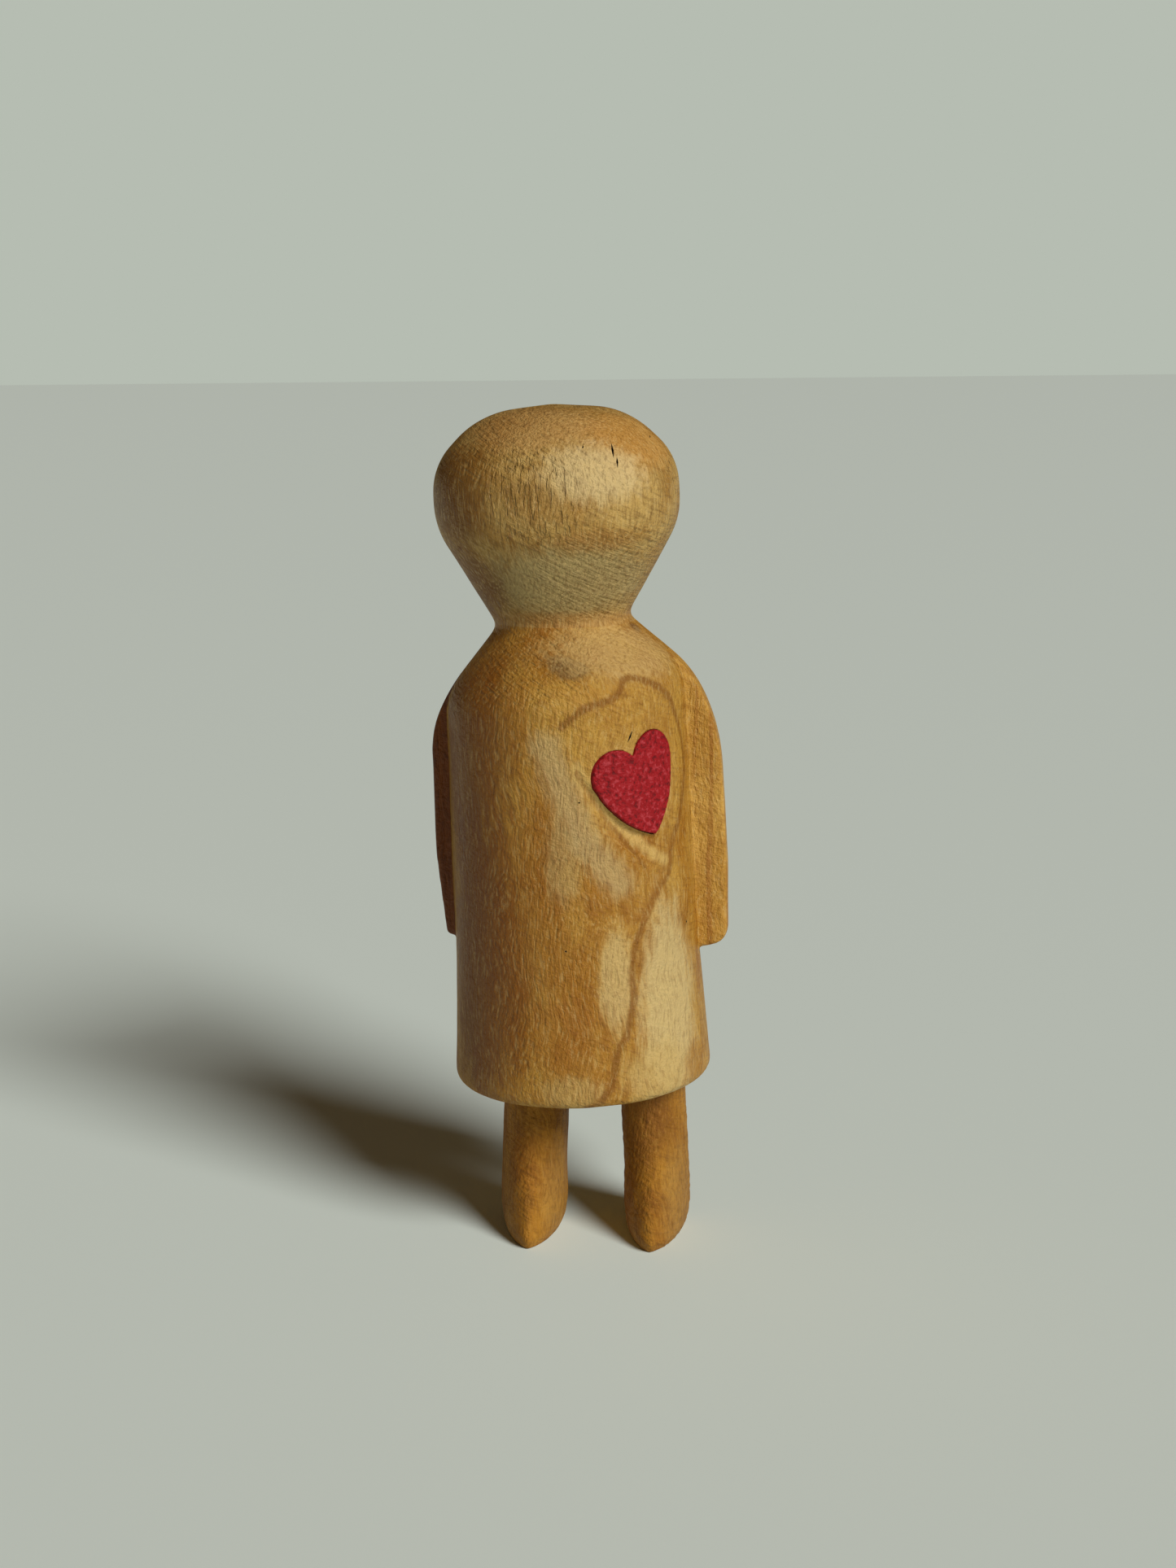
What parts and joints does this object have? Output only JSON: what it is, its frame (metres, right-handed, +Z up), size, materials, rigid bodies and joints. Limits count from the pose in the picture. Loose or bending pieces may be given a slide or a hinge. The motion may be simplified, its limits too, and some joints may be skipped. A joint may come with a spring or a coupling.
{
  "type": "wooden figurine",
  "caption": "Carved wooden figurine: a faceless standing figure in a long coat, with arms held at its sides, short legs in pointed shoes and a red heart let into its chest.",
  "frame": {"origin": "on the plane of the soles, under the middle of the overall box", "axes": "+Z up, the figure faces -Y, +X towards the figure's own left"},
  "size_m": [0.0706, 0.062, 0.2],
  "materials": {
    "coat_wood": "sanded, oiled, satin",
    "head_wood": "sanded, oiled, satin",
    "arm_wood": "sanded, oiled, satin",
    "leg_wood": "filed, oiled, satin",
    "heart_red": "painted red, semi-matte",
    "dowel_wood": "plain beech dowel"
  },
  "bodies": {
    "root": {"torso": "coat_wood", "head": "head_wood", "left_arm": "arm_wood", "right_arm": "arm_wood", "left_leg": "leg_wood", "right_leg": "leg_wood", "heart": "heart_red", "neck_dowel": "dowel_wood", "left_arm_upper_dowel": "dowel_wood", "left_arm_lower_dowel": "dowel_wood", "right_arm_upper_dowel": "dowel_wood", "right_arm_lower_dowel": "dowel_wood", "left_leg_dowel": "dowel_wood", "right_leg_dowel": "dowel_wood"}
  },
  "joints": []
}
